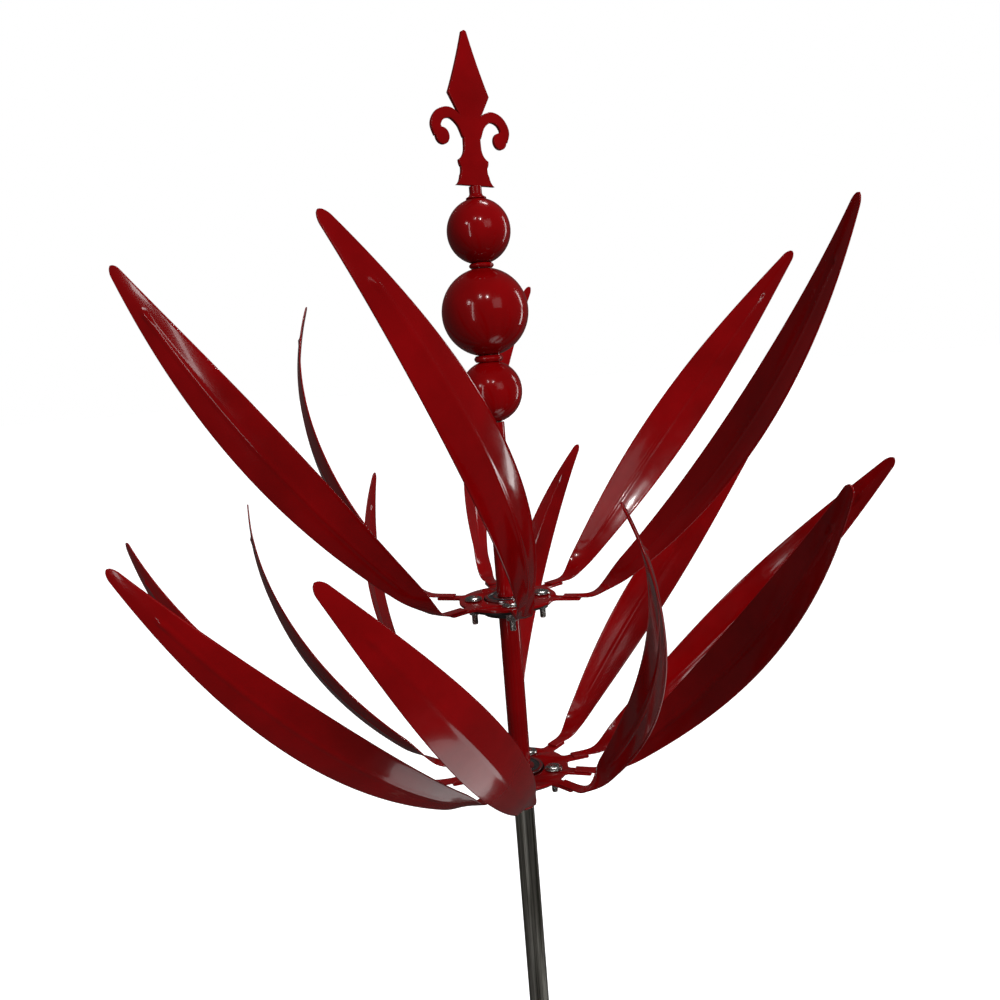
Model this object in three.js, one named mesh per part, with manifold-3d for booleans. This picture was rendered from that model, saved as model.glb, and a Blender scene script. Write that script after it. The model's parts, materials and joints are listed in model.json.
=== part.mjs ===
// Kinetic wind sculpture: a fixed mast with stacked balls and a scrolled spear finial,
// two wind-driven rotors of curved blades, each on its own sealed bearing, and a ground fork.
// Millimetres, +Z up. The origin is on the mast axis at the soil line.

import * as THREE from "three";
import { mergeVertices } from "three/addons/utils/BufferGeometryUtils.js";
import Module from "manifold-3d";

const wasm = await Module();
wasm.setup();

const deg = Math.PI / 180;
const gap = 0.3;
const weldDistance = 1e-4;
const drillOvershoot = 1;
const roundSides = 28;
const smallSides = 16;

// Heights above the soil line
const lowerHubZ = 660;
const hubSpacing = 140;
const upperHubZ = lowerHubZ + hubSpacing;
const sleeveMiddleZ = 320;
const poleTopZ = lowerHubZ - 31;

// Ground fork
const stepBarWidth = 150;
const stepBarDepth = 30;
const stepBarThickness = 4;
const prongSpacing = 60;
const prongRadius = 4;
const prongLength = 165;
const prongPointLength = 22;
const prongHeadRise = 2;
const centreSpikeRadius = 5;
const centreSpikeLength = 190;
const centreSpikeRise = 34;

// Poles and the sleeve that joins them
const poleRadius = 8;
const poleInside = 6.6;
const sleeveRadius = 10.2;
const sleeveLength = 90;

// Spindle and the tubes that space the bearings along it
const spindleRadius = 6;
const spindleFootRadius = poleInside - gap;
const spindleFootLength = 70;
const spacerInside = spindleRadius + gap;
const spacerRadius = 8;
const hubSeatRadius = 10.5;
const hubSeatRimHeight = 6;

// Balls, necks and finial
const ballWall = 1.5;
const ballRadius = { low: 23.1, middle: 31.9, high: 23.2 };
const ballZ = { low: lowerHubZ + 300, middle: lowerHubZ + 358, high: lowerHubZ + 415.5 };
const neckRadius = { low: 10.7, high: 9.1 };
const neckEdgeShare = 0.86;
const stemRadius = 4.6;
const stemFootRadius = 7.4;
const stemHeight = 8.3;
const stemRimHeight = 0.8;
const stemFlareTop = 3;
const spindleTopDrop = 1.2;
const finialZ = ballZ.high + ballRadius.high + stemHeight;
const spindleTopZ = ballZ.high + ballRadius.high - spindleTopDrop;
const finialThickness = 3;
const finialTurn = 38 * deg;

// Finial outline, up one side from its flat foot. Each place is [half width, height], and each
// curve is [the place it is pulled towards, the place where it ends].
const spearFoot = [17.2, 0];
const spearFootCurves = [
  [[13.8, 1.5], [12.8, 7]],
  [[11.6, 8], [11.6, 12.5]],
  [[13.2, 14], [13.2, 17.5]],
  [[8.6, 19.5], [7.6, 25]],
  [[6.6, 37], [9.4, 47.5]],
];
const spearShoulder = [18, 62];
const spearPointCurve = [[8.9, 82], [1.9, 104]];
const spearCurveSteps = 6;
const scrollSteps = 12;
const scrollLine = [[5, 34], [9.5, 43], [17.5, 48.3], [26, 46.5], [30.6, 40], [28.4, 33.5]];
const scrollRootWidth = 6.4;
const scrollTipWidth = 8.6;
const scrollEnd = [25.6, 32.4];
const scrollEndRadius = 5.8;

// Blade: a bent strip, lapped onto a spoke at one end and rounded at the other
const bladeLength = 340;
const bladeThickness = 1.2;
const bladeFullWidth = 38;
const bladeStrapWidth = 9;
const bladeTipWidth = 6.5;
const bladeBendGrowth = 0.15;
const bladeRoll = 48;
const bladeDish = 2.4;
const bladeLap = 13;
const bladeFoldLength = 18;
const bladeTwistLength = 45;
const bladeTipStart = 0.98;
const bladeTipRounding = 0.8;
const bladeSteps = 20;
const bladeLineSteps = 400;

// Spider: the star plate that carries one tier of blades
const spiderThickness = 2;
const spiderDiscRadius = 37.5;
const spiderBoreRadius = 18.6;
const spokeWidth = 9;
const spokeEndRadius = 57;

// Bearing and the flanged housing that holds it
const bearingOuterRadius = 17.5;
const outerRaceInside = 14.6;
const innerRaceOutside = 11;
const bearingHeight = 11;
const bearingTop = spiderThickness + 1.6;
const bearingBottom = bearingTop - bearingHeight;
const sealThickness = 1.2;
const sealDepth = 0.4;
const flangeRadius = 34;
const flangeThickness = 2.6;
const housingWall = 1.8;
const housingLip = 2.2;

// Hub bolts and nuts. A bolt head's profile is in shares of its radius and height.
const boltCircleRadius = 26.5;
const boltCount = 4;
const boltRadius = 2.5;
const boltHoleRadius = 2.8;
const boltHeadRadius = 7;
const boltHeadHeight = 3.2;
const boltHeadProfile = [[1, 0], [1, 0.3], [0.75, 0.8], [0.35, 1], [0, 1]];
const boltShankLength = 19;
const nutAcrossFlats = 8;
const nutFlangeRadius = 6.3;
const nutFlangeHeight = 1.4;
const nutFlangeEdge = 0.5;
const nutHeight = 5.6;

// Each tier, in degrees: the direction of its first spoke, the slope of its blades where they
// leave the spokes, their bend from root to tip, and the direction of its first bolt
const tiers = {
  upper: { z: upperHubZ, firstSpoke: 282, slope: 37, bend: 52, firstBolt: 5 },
  lower: { z: lowerHubZ, firstSpoke: 273, slope: 29, bend: 52, firstBolt: 344 },
};

// The blades are bent by hand, so each strays a little: [lean, turn, bend, roll] in degrees,
// one per spoke
const bladeTrims = {
  upper: [
    [0, -3, 1, -2], [1, 3, -9, -4], [2, -1, -6, 4],
    [-1, 2, 0, -3], [-1, 0, 8, 2], [5, -1, -8, 2],
  ],
  lower: [
    [-1, -1, -4, -5], [16, 4, -2, 16], [8, -1, 3, 8], [4, -4, -4, 5], [6, -5, -1, 0],
    [3, -1, -9, 2], [-5, 7, 0, -5], [-5, 2, 3, 3], [-7, -4, 5, 2], [-3, 4, -2, -7],
  ],
};

const looks = {
  enamel: { color: 0x8a0f18, roughness: 0.28, metalness: 0.35 },
  steel: { color: 0x8d8c88, roughness: 0.3, metalness: 1 },
  stainless: { color: 0xc9c8c4, roughness: 0.25, metalness: 1 },
  blackIron: { color: 0x17181a, roughness: 0.55, metalness: 0.4 },
  rubber: { color: 0x1d1e20, roughness: 0.8, metalness: 0 },
  bearingSteel: { color: 0xa9abae, roughness: 0.2, metalness: 1 },
};

const sculpture = new THREE.Group();

function addPart(parent, name, geometry, look) {
  const mesh = new THREE.Mesh(geometry, new THREE.MeshStandardMaterial(looks[look]));
  mesh.name = name;
  parent.add(mesh);
  return mesh;
}

// Solids that are joined and cut

function solidOf(geometry) {
  const copy = geometry.clone();
  copy.deleteAttribute("normal");
  copy.deleteAttribute("uv");
  const closed = mergeVertices(copy, weldDistance);
  return new wasm.Manifold(new wasm.Mesh({
    numProp: 3,
    vertProperties: new Float32Array(closed.attributes.position.array),
    triVerts: new Uint32Array(closed.index.array),
  }));
}

function geometryOf(solid) {
  const mesh = solid.getMesh();
  const geometry = new THREE.BufferGeometry();
  geometry.setAttribute("position", new THREE.BufferAttribute(mesh.vertProperties, 3));
  geometry.setIndex(new THREE.BufferAttribute(mesh.triVerts, 1));
  geometry.computeVertexNormals();
  return geometry;
}

// Round pieces about Z, from [radius, height] points listed anticlockwise

function turned(profile, sides = roundSides) {
  const points = profile.map(([radius, height]) => new THREE.Vector2(radius, height));
  return new THREE.LatheGeometry(points, sides).rotateX(Math.PI / 2);
}

function tube(inside, outside, bottom, top, sides = roundSides) {
  const corners = [[inside, bottom], [outside, bottom], [outside, top], [inside, top]];
  return turned([...corners, corners[0]], sides);
}

function rod(radius, bottom, top, sides = roundSides) {
  return turned([[0, bottom], [radius, bottom], [radius, top], [0, top]], sides);
}

function plate(shape, thickness) {
  return new THREE.ExtrudeGeometry(shape, { depth: thickness, bevelEnabled: false, curveSegments: 10 });
}

// Ground fork

function makeFork() {
  const bar = new THREE.BoxGeometry(stepBarWidth, stepBarDepth, stepBarThickness);
  let barSolid = solidOf(bar.translate(0, 0, stepBarThickness / 2));
  for (const x of [-prongSpacing, 0, prongSpacing]) {
    const radius = (x === 0 ? centreSpikeRadius : prongRadius) + gap;
    const hole = rod(radius, -drillOvershoot, stepBarThickness + drillOvershoot, smallSides);
    barSolid = barSolid.subtract(solidOf(hole.translate(x, 0, 0)));
  }
  addPart(sculpture, "step_bar", geometryOf(barSolid), "steel");

  const prong = turned([
    [0, -prongLength],
    [prongRadius, prongPointLength - prongLength],
    [prongRadius, stepBarThickness + prongHeadRise],
    [0, stepBarThickness + prongHeadRise],
  ], smallSides);
  addPart(sculpture, "prong_left", prong, "steel").position.x = -prongSpacing;
  addPart(sculpture, "prong_right", prong.clone(), "steel").position.x = prongSpacing;

  const spike = turned([
    [0, -centreSpikeLength],
    [centreSpikeRadius, prongPointLength - centreSpikeLength],
    [centreSpikeRadius, centreSpikeRise],
    [0, centreSpikeRise],
  ], smallSides);
  addPart(sculpture, "centre_spike", spike, "steel");
}

// Two poles, butted inside a slip-on sleeve

function makePoles() {
  const lowerPole = tube(poleInside, poleRadius, stepBarThickness + gap, sleeveMiddleZ - gap / 2);
  const upperPole = tube(poleInside, poleRadius, sleeveMiddleZ + gap / 2, poleTopZ);
  const sleeveBottom = sleeveMiddleZ - sleeveLength / 2;
  const sleeve = tube(poleRadius + gap, sleeveRadius, sleeveBottom, sleeveBottom + sleeveLength);
  addPart(sculpture, "lower_pole", lowerPole, "steel");
  addPart(sculpture, "upper_pole", upperPole, "steel");
  addPart(sculpture, "pole_sleeve", sleeve, "steel");
}

// Spindle, with the seat and spacer tubes that clamp the bearings' inner races

function makeSpindle() {
  const footBottom = poleTopZ - spindleFootLength;
  const spindle = turned([
    [0, footBottom],
    [spindleFootRadius, footBottom],
    [spindleFootRadius, poleTopZ],
    [spindleRadius, poleTopZ],
    [spindleRadius, spindleTopZ],
    [0, spindleTopZ],
  ], 20);
  addPart(sculpture, "spindle", spindle, "steel");

  const seatBottom = poleTopZ + gap;
  const seatTop = lowerHubZ + bearingBottom - gap;
  const seat = turned([
    [spacerInside, seatBottom],
    [spacerRadius, seatBottom],
    [hubSeatRadius, seatTop - hubSeatRimHeight],
    [hubSeatRadius, seatTop],
    [spacerInside, seatTop],
    [spacerInside, seatBottom],
  ]);
  addPart(sculpture, "hub_seat", seat, "enamel");

  const middleBottom = lowerHubZ + bearingTop + gap;
  const middleTop = upperHubZ + bearingBottom - gap;
  addPart(sculpture, "spacer_middle", tube(spacerInside, spacerRadius, middleBottom, middleTop), "enamel");

  const topBottom = upperHubZ + bearingTop + gap;
  const topTop = ballSurface("low", -1, spacerInside) - gap;
  addPart(sculpture, "spacer_top", tube(spacerInside, spacerRadius, topBottom, topTop), "enamel");
}

// Hollow balls threaded on the spindle, with a waisted neck between each two

function arcPoints(radius, from, to, steps) {
  const points = [];
  for (let step = 0; step <= steps; step += 1) {
    const angle = from + (to - from) * (step / steps);
    points.push([radius * Math.cos(angle), radius * Math.sin(angle)]);
  }
  return points;
}

function hollowBall(radius) {
  const inside = radius - ballWall;
  const outerEnd = Math.acos(spacerInside / radius);
  const innerEnd = Math.acos(spacerInside / inside);
  const outer = arcPoints(radius, -outerEnd, outerEnd, 12);
  const inner = arcPoints(inside, innerEnd, -innerEnd, 8);
  return turned([...outer, ...inner, outer[0]]);
}

// The height of a ball's surface, a gap clear of it, above (1) or below (-1) its centre
function ballSurface(ball, side, at) {
  return ballZ[ball] + side * Math.sqrt((ballRadius[ball] + gap) ** 2 - at ** 2);
}

function neckBetween(radius, lower, upper) {
  const inner = spacerInside;
  const edge = radius * neckEdgeShare;
  const low = ballSurface(lower, 1, inner) + gap;
  const high = ballSurface(upper, -1, inner) - gap;
  const edgeLow = ballSurface(lower, 1, edge) + gap;
  const edgeHigh = ballSurface(upper, -1, edge) - gap;
  return turned([
    [inner, low],
    [edge, edgeLow],
    [radius, (edgeLow + edgeHigh) / 2],
    [edge, edgeHigh],
    [inner, high],
    [inner, low],
  ], 24);
}

function makeBalls() {
  for (const place of ["low", "middle", "high"]) {
    addPart(sculpture, `ball_${place}`, hollowBall(ballRadius[place]), "enamel").position.z = ballZ[place];
  }
  addPart(sculpture, "neck_low", neckBetween(neckRadius.low, "low", "middle"), "enamel");
  addPart(sculpture, "neck_high", neckBetween(neckRadius.high, "middle", "high"), "enamel");
}

// Finial: a flat spear with two scrolls, on a short turned stem

// The right-hand edge of the spear, from the foot up to the tip, is mirrored for the left
function spearOutline() {
  const shape = new THREE.Shape();
  shape.moveTo(0, 0);
  shape.lineTo(...spearFoot);
  for (const [pull, end] of spearFootCurves) shape.quadraticCurveTo(...pull, ...end);
  shape.lineTo(...spearShoulder);
  const [pull, tip] = spearPointCurve;
  shape.quadraticCurveTo(...pull, ...tip);
  const edge = shape.getPoints(spearCurveSteps);
  const mirrored = edge.slice(1).map((point) => new THREE.Vector2(-point.x, point.y));
  return new THREE.Shape([...edge, ...mirrored.reverse()]);
}

function scrollOutline(side) {
  const centreline = new THREE.SplineCurve(scrollLine.map(([x, y]) => new THREE.Vector2(x * side, y)));
  const left = [];
  const right = [];
  for (let step = 0; step <= scrollSteps; step += 1) {
    const along = step / scrollSteps;
    const point = centreline.getPointAt(along);
    const tangent = centreline.getTangentAt(along);
    const halfWidth = THREE.MathUtils.lerp(scrollRootWidth, scrollTipWidth, along) / 2;
    const offset = new THREE.Vector2(-tangent.y, tangent.x).multiplyScalar(halfWidth);
    left.push(point.clone().add(offset));
    right.push(point.clone().sub(offset));
  }
  return new THREE.Shape([...left, ...right.reverse()]);
}

function makeFinial() {
  const rim = ballSurface("high", 1, stemFootRadius) + gap;
  const stem = turned([
    [0, spindleTopZ + gap],
    [spindleRadius, spindleTopZ + gap],
    [stemFootRadius, rim],
    [stemFootRadius, rim + stemRimHeight],
    [stemRadius, rim + stemFlareTop],
    [stemRadius, finialZ - gap],
    [0, finialZ - gap],
  ], 24);
  addPart(sculpture, "finial_stem", stem, "enamel");

  let spear = solidOf(plate(spearOutline(), finialThickness));
  for (const side of [-1, 1]) {
    spear = spear.add(solidOf(plate(scrollOutline(side), finialThickness)));
    const roundEnd = rod(scrollEndRadius, 0, finialThickness, 20);
    spear = spear.add(solidOf(roundEnd.translate(scrollEnd[0] * side, scrollEnd[1], 0)));
  }
  const upright = geometryOf(spear).translate(0, 0, -finialThickness / 2).rotateX(Math.PI / 2);
  const finial = addPart(sculpture, "finial_spear", upright, "enamel");
  finial.position.z = finialZ;
  finial.rotation.z = finialTurn;
}

// Blades

function bladeWidthAt(along) {
  const ends = THREE.MathUtils.lerp(bladeStrapWidth, bladeTipWidth, along);
  const width = ends + (bladeFullWidth - ends) * Math.sin(Math.PI * along);
  const intoTip = Math.max(0, (along - bladeTipStart) / (1 - bladeTipStart));
  return width * Math.sqrt(1 - bladeTipRounding * intoTip ** 2);
}

// The middle line of a blade leaving the hub along +X, with its frame at each distance.
// A negative distance lies on the spoke.
function bladeLine(slope, fullBend, roll) {
  const outward = new THREE.Vector3(1, 0, 0);
  const clockwise = new THREE.Vector3(0, -1, 0);
  const rise = new THREE.Vector3(Math.cos(slope), 0, Math.sin(slope));
  const above = new THREE.Vector3(-Math.sin(slope), 0, Math.cos(slope));
  const inward = above.clone().multiplyScalar(Math.cos(roll));
  inward.addScaledVector(clockwise, Math.sin(roll));
  const rolledAcross = new THREE.Vector3().crossVectors(inward, rise).normalize();
  const point = new THREE.Vector3(spokeEndRadius - bladeLap, 0, spiderThickness + gap);
  const stations = [];
  const travel = bladeLength + bladeLap;
  for (let step = 0; step <= bladeLineSteps; step += 1) {
    const distance = (travel * step) / bladeLineSteps - bladeLap;
    const along = Math.max(0, distance / bladeLength);
    const bend = fullBend * (along + bladeBendGrowth * along * (1 - along));
    const curved = rise.clone().multiplyScalar(Math.cos(bend)).addScaledVector(inward, Math.sin(bend));
    const folded = THREE.MathUtils.smoothstep(distance, 0, bladeFoldLength);
    const tangent = outward.clone().lerp(curved, folded).normalize();
    const twisted = THREE.MathUtils.smoothstep(distance, 0, bladeTwistLength);
    const across = clockwise.clone().negate().lerp(rolledAcross, twisted);
    across.addScaledVector(tangent, -across.dot(tangent)).normalize();
    const normal = new THREE.Vector3().crossVectors(tangent, across);
    stations.push({ along, point: point.clone(), across, normal });
    point.addScaledVector(tangent, travel / bladeLineSteps);
  }
  return stations;
}

function bladeGeometry(slope, fullBend, roll) {
  const line = bladeLine(slope, fullBend, roll);
  const strip = new THREE.BoxGeometry(1, 1, 1, bladeSteps, 2, 1);
  const places = strip.attributes.position;
  for (let index = 0; index < places.count; index += 1) {
    const station = line[Math.round((places.getX(index) + 0.5) * (line.length - 1))];
    const side = places.getY(index) * 2;
    const dish = bladeDish * Math.sin(Math.PI * station.along) * (1 - side * side);
    const height = (places.getZ(index) + 0.5) * bladeThickness - dish;
    const place = station.point.clone();
    place.addScaledVector(station.across, (side * bladeWidthAt(station.along)) / 2);
    place.addScaledVector(station.normal, height);
    places.setXYZ(index, place.x, place.y, place.z);
  }
  strip.computeVertexNormals();
  return strip;
}

// Hub pieces. Heights are above the underside of the spider.

function spokeAngle(tier, index) {
  const turnTrim = bladeTrims[tier][index][1];
  return (tiers[tier].firstSpoke + (360 / bladeTrims[tier].length) * index + turnTrim) * deg;
}

function makeSpider(tier) {
  let spider = solidOf(rod(spiderDiscRadius, 0, spiderThickness, 48));
  const spokeStart = (spiderBoreRadius + spiderDiscRadius) / 2;
  for (let spoke = 0; spoke < bladeTrims[tier].length; spoke += 1) {
    const length = spokeEndRadius - spokeStart;
    const bar = new THREE.BoxGeometry(length, spokeWidth, spiderThickness);
    bar.translate(spokeStart + length / 2, 0, spiderThickness / 2);
    bar.rotateZ(spokeAngle(tier, spoke));
    spider = spider.add(solidOf(bar));
  }
  const [below, above] = [-drillOvershoot, spiderThickness + drillOvershoot];
  spider = spider.subtract(solidOf(rod(spiderBoreRadius, below, above, 40)));
  return geometryOf(drillBoltHoles(spider, tiers[tier].firstBolt, below, above));
}

function boltAngle(firstBolt, index) {
  return (firstBolt + (360 / boltCount) * index) * deg;
}

function drillBoltHoles(solid, firstBolt, bottom, top) {
  let drilled = solid;
  for (let index = 0; index < boltCount; index += 1) {
    const hole = rod(boltHoleRadius, bottom, top, 12).translate(boltCircleRadius, 0, 0);
    drilled = drilled.subtract(solidOf(hole.rotateZ(boltAngle(firstBolt, index))));
  }
  return drilled;
}

function makeFlange(firstBolt) {
  const bore = bearingOuterRadius + gap;
  const collarRadius = bore + housingWall;
  const flangeTop = -gap;
  const flangeBottom = flangeTop - flangeThickness;
  const shelf = bearingBottom - gap;
  const floor = shelf - housingWall;
  const housing = turned([
    [bore, flangeTop],
    [bore, shelf],
    [bore - housingLip, shelf],
    [bore - housingLip, floor],
    [collarRadius, floor],
    [collarRadius, flangeBottom],
    [flangeRadius, flangeBottom],
    [flangeRadius, flangeTop],
    [bore, flangeTop],
  ], 32);
  const below = flangeBottom - drillOvershoot;
  return geometryOf(drillBoltHoles(solidOf(housing), firstBolt, below, drillOvershoot));
}

function makeBolt() {
  const seat = spiderThickness + gap;
  return turned([
    [0, seat - boltShankLength],
    [boltRadius, seat - boltShankLength],
    [boltRadius, seat],
    ...boltHeadProfile.map(([out, up]) => [boltHeadRadius * out, seat + boltHeadHeight * up]),
  ], 14);
}

function makeNut() {
  const shape = new THREE.Shape();
  const cornerRadius = nutAcrossFlats / 2 / Math.cos(30 * deg);
  for (let corner = 0; corner < 6; corner += 1) {
    const angle = corner * 60 * deg;
    const x = cornerRadius * Math.cos(angle);
    const y = cornerRadius * Math.sin(angle);
    if (corner === 0) shape.moveTo(x, y);
    else shape.lineTo(x, y);
  }
  const nutTop = -gap - flangeThickness - gap;
  const nutBottom = nutTop - nutHeight;
  const hex = solidOf(plate(shape, nutHeight).translate(0, 0, nutBottom));
  const flange = solidOf(turned([
    [0, nutTop - nutFlangeHeight],
    [nutFlangeRadius, nutTop - nutFlangeHeight * nutFlangeEdge],
    [nutFlangeRadius, nutTop],
    [0, nutTop],
  ], 18));
  const hole = solidOf(rod(boltHoleRadius, nutBottom - drillOvershoot, nutTop + drillOvershoot, 12));
  return geometryOf(hex.add(flange).subtract(hole));
}

function makeHub(tier) {
  const { z, slope, bend, firstBolt } = tiers[tier];
  const trims = bladeTrims[tier];
  const hub = new THREE.Group();
  hub.position.z = z;
  sculpture.add(hub);

  const innerRace = tube(spindleRadius + gap, innerRaceOutside, bearingBottom, bearingTop);
  const outerRace = tube(outerRaceInside, bearingOuterRadius, bearingBottom, bearingTop, 40);
  const sealTop = bearingTop - sealDepth;
  const seal = tube(innerRaceOutside + gap, outerRaceInside - gap, sealTop - sealThickness, sealTop);
  addPart(hub, `${tier}_inner_race`, innerRace, "bearingSteel");
  addPart(hub, `${tier}_outer_race`, outerRace, "bearingSteel");
  addPart(hub, `${tier}_bearing_seal`, seal, "rubber");
  addPart(hub, `${tier}_flange`, makeFlange(firstBolt), "blackIron");
  addPart(hub, `${tier}_spider`, makeSpider(tier), "enamel");

  for (let index = 0; index < boltCount; index += 1) {
    const angle = boltAngle(firstBolt, index);
    const bolt = addPart(hub, `${tier}_bolt_${index + 1}`, makeBolt(), "stainless");
    const nut = addPart(hub, `${tier}_nut_${index + 1}`, makeNut(), "stainless");
    for (const piece of [bolt, nut]) {
      piece.position.set(boltCircleRadius * Math.cos(angle), boltCircleRadius * Math.sin(angle), 0);
      piece.rotation.z = angle;
    }
  }

  trims.forEach(([leanTrim, , bendTrim, rollTrim], index) => {
    const angles = [slope + leanTrim, bend + bendTrim, bladeRoll + rollTrim];
    const blade = bladeGeometry(...angles.map((angle) => angle * deg));
    const mesh = addPart(hub, `${tier}_blade_${index + 1}`, blade, "enamel");
    mesh.rotation.z = spokeAngle(tier, index);
  });
}

makeFork();
makePoles();
makeSpindle();
makeBalls();
makeFinial();
makeHub("upper");
makeHub("lower");

export default sculpture;
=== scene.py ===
"""Looks of the kinetic wind sculpture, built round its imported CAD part.

Lengths are in millimetres until add_mesh() and plate() turn them into metres. The camera, the
floor and the lamps are in metres."""

import json
import math

import bmesh
import bpy
import numpy as np
from mathutils import Matrix, Vector

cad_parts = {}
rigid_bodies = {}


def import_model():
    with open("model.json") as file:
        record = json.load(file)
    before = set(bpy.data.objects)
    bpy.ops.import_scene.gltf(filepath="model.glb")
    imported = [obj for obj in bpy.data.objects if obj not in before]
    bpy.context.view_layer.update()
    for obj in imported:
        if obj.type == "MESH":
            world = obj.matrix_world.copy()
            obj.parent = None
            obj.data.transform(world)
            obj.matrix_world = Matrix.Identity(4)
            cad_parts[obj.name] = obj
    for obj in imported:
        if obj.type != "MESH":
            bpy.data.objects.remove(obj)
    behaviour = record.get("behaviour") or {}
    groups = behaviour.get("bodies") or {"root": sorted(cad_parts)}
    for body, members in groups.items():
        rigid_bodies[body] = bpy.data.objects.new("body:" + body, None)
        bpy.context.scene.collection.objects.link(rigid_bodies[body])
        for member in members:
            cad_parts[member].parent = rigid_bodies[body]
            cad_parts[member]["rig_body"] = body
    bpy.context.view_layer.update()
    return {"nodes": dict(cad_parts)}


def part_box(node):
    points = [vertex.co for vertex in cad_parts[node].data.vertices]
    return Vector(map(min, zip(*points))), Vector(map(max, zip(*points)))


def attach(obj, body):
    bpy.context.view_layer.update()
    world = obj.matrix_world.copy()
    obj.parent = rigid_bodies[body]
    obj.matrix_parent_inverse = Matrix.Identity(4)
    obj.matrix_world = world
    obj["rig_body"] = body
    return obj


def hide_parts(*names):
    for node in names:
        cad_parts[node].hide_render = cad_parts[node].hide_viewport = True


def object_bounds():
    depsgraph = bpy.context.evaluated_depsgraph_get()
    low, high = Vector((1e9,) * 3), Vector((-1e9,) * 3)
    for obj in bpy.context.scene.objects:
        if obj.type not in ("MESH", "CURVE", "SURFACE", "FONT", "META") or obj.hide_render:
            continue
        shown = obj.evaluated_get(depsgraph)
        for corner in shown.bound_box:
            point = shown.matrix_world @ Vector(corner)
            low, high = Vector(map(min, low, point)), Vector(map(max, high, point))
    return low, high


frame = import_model()

MM = 0.001
GAP = 0.3
SHARP_ANGLE = 38
WELD_FINE = 1e-7
WELD_COARSE = 1e-6


def cad_heights(node):
    low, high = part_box(node)
    return low.z / MM, high.z / MM


def cad_radius(node):
    low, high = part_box(node)
    return (high.x - low.x) / 2 / MM


HUB_Z = {tier: cad_heights(f"{tier}_spider")[0] for tier in ("upper", "lower")}

# Blades: the same bent strips as the CAD, with finer steps, a dish, a pressed rib and a dimple
# at the rib's end. Starts, ends and runs are shares of the blade's length.
BLADE_LENGTH = 340
BLADE_THICKNESS = 1.2
BLADE_FULL_WIDTH = 38
BLADE_STRAP_WIDTH = 9
BLADE_TIP_WIDTH = 6.5
BEND_GROWTH = 0.15
BLADE_ROLL = 48
BLADE_DISH = 2.4
BLADE_LAP = 13
FOLD_LENGTH = 18
TWIST_LENGTH = 45
SPOKE_END = 57
RIB_HALF_WIDTH = 3.4
RIB_DEPTH = 0.4
RIB_START = 0.13
RIB_END = 0.885
RIB_RUN_IN = 0.05
RIB_RUN_OUT = 0.012
RIB_WIDTH_SHARE = 0.6
RIB_FULL_FROM = 8
DIMPLE_DEPTH = 0.9
DIMPLE_BEFORE_END = 0.01
DIMPLE_REACH = 0.008
DISH_POWER = 1.7
EDGE_SHARE = 0.42
EDGE_ROUNDING = 0.85
LEAST_HALF_WIDTH = 0.05
TIP_ROUND_START = 0.982
BLADE_LINE_STEPS = 400
BLADE_TIP_RUN = 0.97
BLADE_STEPS = 110
BLADE_TIP_STEPS = 18
BLADE_SHARP_ANGLE = 50

# [direction of the first spoke, slope, bend] of each tier in degrees, and each blade's own
# [lean, turn, bend, roll], rounded from a least-squares fit to the photograph
TIERS = {"upper": (282, 37, 52), "lower": (273, 29, 52)}
FIRST_BOLT = {"upper": 5, "lower": 344}
TRIMS = {
    "upper": [
        [0, -3, 1, -2], [1, 3, -9, -4], [2, -1, -6, 4],
        [-1, 2, 0, -3], [-1, 0, 8, 2], [5, -1, -8, 2],
    ],
    "lower": [
        [-1, -1, -4, -5], [16, 4, -2, 16], [8, -1, 3, 8], [4, -4, -4, 5], [6, -5, -1, 0],
        [3, -1, -9, 2], [-5, 7, 0, -5], [-5, 2, 3, 3], [-7, -4, 5, 2], [-3, 4, -2, -7],
    ],
}

# Hub
SPIDER_THICKNESS = 2
SPIDER_DISC_RADIUS = 37.5
SPIDER_BORE_RADIUS = 18.6
SPOKE_WIDTH = 9
SPOKE_CORNER = 0.8
SPOKE_ROOT_REACH = 1.6
SPOKE_ROOT_FILLET = math.radians(2.4)
PLATE_BEVEL = 0.3
BOLT_CIRCLE = 26.5
BOLT_COUNT = 4
BOLT_RADIUS = 2.5
BOLT_HEAD_RADIUS = 7
BOLT_HEAD_HEIGHT = 3.2
BOLT_SHANK = 19
BOLT_SIDES = 28
BOLT_PLAIN_LENGTH = 0.2
BOLT_HEAD_RIM = 0.4
BOLT_HEAD_CHAMFER = 0.3
BOLT_HEAD_FULLNESS = 0.8
BOLT_HEAD_STEPS = 12
THREAD_PITCH = 0.8
THREAD_DEPTH = 0.42
THREAD_LEAD = 1.2
THREAD_STEPS = 6
FLANGE_THICKNESS = 2.6
NUT_ACROSS_FLATS = 8
NUT_HEIGHT = 5.6
NUT_FLANGE_RADIUS = 6.3
NUT_FLANGE_HEIGHT = 1.4
NUT_SIDES = 72
BEARING_TOP = SPIDER_THICKNESS + 1.6
BEARING_HEIGHT = 11
RACE_INSIDE = 14.6
SEAL_STEP = 0.8
SEAL_DISH = 0.25
CUP_WALL = 1.8
CUP_LIP = 2.2

# Mast
SPINDLE_RADIUS = 6
SPINDLE_BORE = SPINDLE_RADIUS + GAP
POLE_INSIDE = 6.6
SLEEVE_INSIDE = 8.3
SLEEVE_TAPER = 1.5
SLEEVE_TAPER_DEPTH = 0.5
SPACER_RADIUS = 8
HUB_SEAT_RIM = 6
BALL_WALL = 1.5
NECK_EDGE_SHARE = 0.86
NECK_STEPS = 10
STEM_RADIUS = 4.6
STEM_RIM_HEIGHT = 0.8
STEM_FLARE = ((0.6, 2), (0, 3.5))

# Fork
BAR_CORNER = 4
BAR_CORNER_STEPS = 8
BAR_BEVEL = 0.6
PRONG_POINT_LENGTH = 22

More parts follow.
